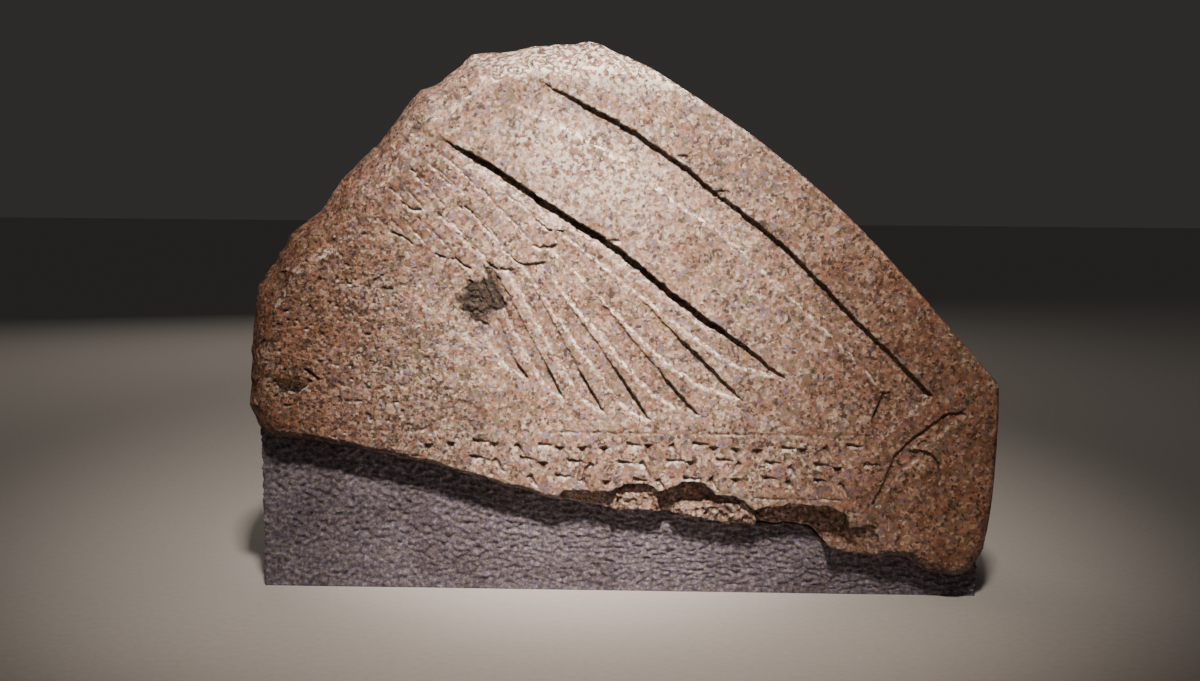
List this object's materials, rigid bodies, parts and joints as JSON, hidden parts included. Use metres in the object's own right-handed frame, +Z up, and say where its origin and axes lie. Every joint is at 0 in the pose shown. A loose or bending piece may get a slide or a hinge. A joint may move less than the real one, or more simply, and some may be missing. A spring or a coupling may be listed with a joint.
{
  "type": "carved stone stele fragment on a fitted block",
  "caption": "Broken upper corner of a round-topped granite stele, carved in sunk relief with a spread wing under a sky band, on a block cut to its broken foot.",
  "frame": {"origin": "on the ground, under the middle of the whole object's bounding box", "axes": "+X to the right of the carved face, which looks along -Y; +Z up"},
  "size_m": [1.1644, 0.3159, 0.8616],
  "materials": {
    "pink_granite": "weathered coarse pink granite, carved and dressed in front, broken on the other sides",
    "tooled_grey_stone": "grey-brown stone, chiselled all over in short level ridges"
  },
  "bodies": {
    "root": {"stele_fragment": "pink_granite", "fitted_base_block": "tooled_grey_stone"}
  },
  "joints": []
}
